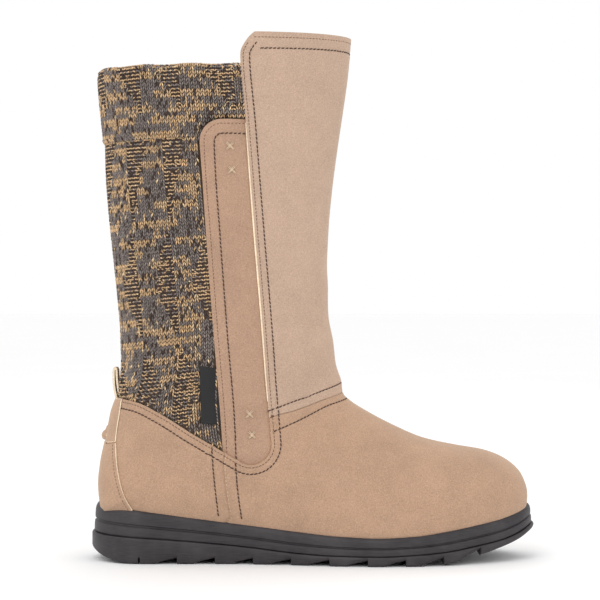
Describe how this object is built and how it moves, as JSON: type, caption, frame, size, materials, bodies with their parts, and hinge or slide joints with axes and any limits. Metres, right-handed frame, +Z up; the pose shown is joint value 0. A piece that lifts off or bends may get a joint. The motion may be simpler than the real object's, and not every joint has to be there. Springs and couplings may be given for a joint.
{
  "type": "mukluk boot",
  "caption": "Right pull-on mid-calf winter boot: suede foot and front shaft, knitted back with turned-down cuff, side strap, heel pull tab and lugged rubber sole.",
  "frame": {"origin": "on the floor, under the middle of the boot's length and width", "axes": "+X towards the toe, +Y towards the inner (medial) side, +Z up"},
  "size_m": [0.27, 0.0952, 0.316],
  "materials": {
    "sole_rubber": "satin black moulded rubber",
    "suede": "matt taupe suede with a short nap",
    "knit": "marled tan, grey-blue and brown yarn",
    "lining": "cream brushed lining",
    "label": "plain black woven tape"
  },
  "bodies": {
    "root": {"outsole": "sole_rubber", "midsole": "sole_rubber", "insole": "lining", "upper": "suede", "knit_shaft": "knit", "knit_cuff": "knit", "side_strap": "suede", "heel_stay": "suede", "pull_tab": "suede", "side_label": "label"}
  },
  "joints": []
}
